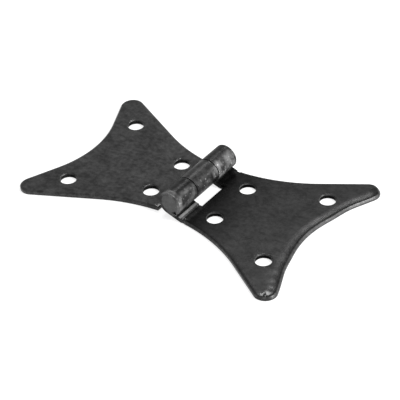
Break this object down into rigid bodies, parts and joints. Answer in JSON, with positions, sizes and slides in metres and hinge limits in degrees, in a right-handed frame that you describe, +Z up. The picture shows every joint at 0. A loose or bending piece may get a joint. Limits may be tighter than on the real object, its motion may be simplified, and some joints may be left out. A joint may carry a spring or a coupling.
{
  "type": "backflap hinge",
  "caption": "Flat butterfly-shaped backflap hinge: two waisted sheet steel leaves with screw holes and rolled knuckles, turning on one fixed pin.",
  "frame": {"origin": "under the middle of the hinge, on the plane of the leaves' back faces. The pin lies 0.9 mm to the right of it, because the left leaf is longer", "axes": "+X from the left leaf to the right leaf, +Y along the pin, +Z up out of the leaves' faces on the barrel's side"},
  "size_m": [0.1, 0.065, 0.0097],
  "materials": {
    "left_leaf": "semi-matt black paint over formed steel sheet, worn on the knuckle",
    "right_leaf": "semi-matt black paint over formed steel sheet, worn on the knuckles",
    "hinge_pin": "peened steel ends under the same black paint"
  },
  "bodies": {
    "right_leaf": {"right_leaf": "right_leaf", "hinge_pin": "hinge_pin"},
    "left_leaf": {"left_leaf": "left_leaf"}
  },
  "joints": [
    {"name": "leaf_fold", "type": "hinge", "parent": "right_leaf", "child": "left_leaf", "pos_m": [0.0009, 0, 0.0056], "axis": [0, 1, 0], "range_deg": [-85, 180]}
  ]
}
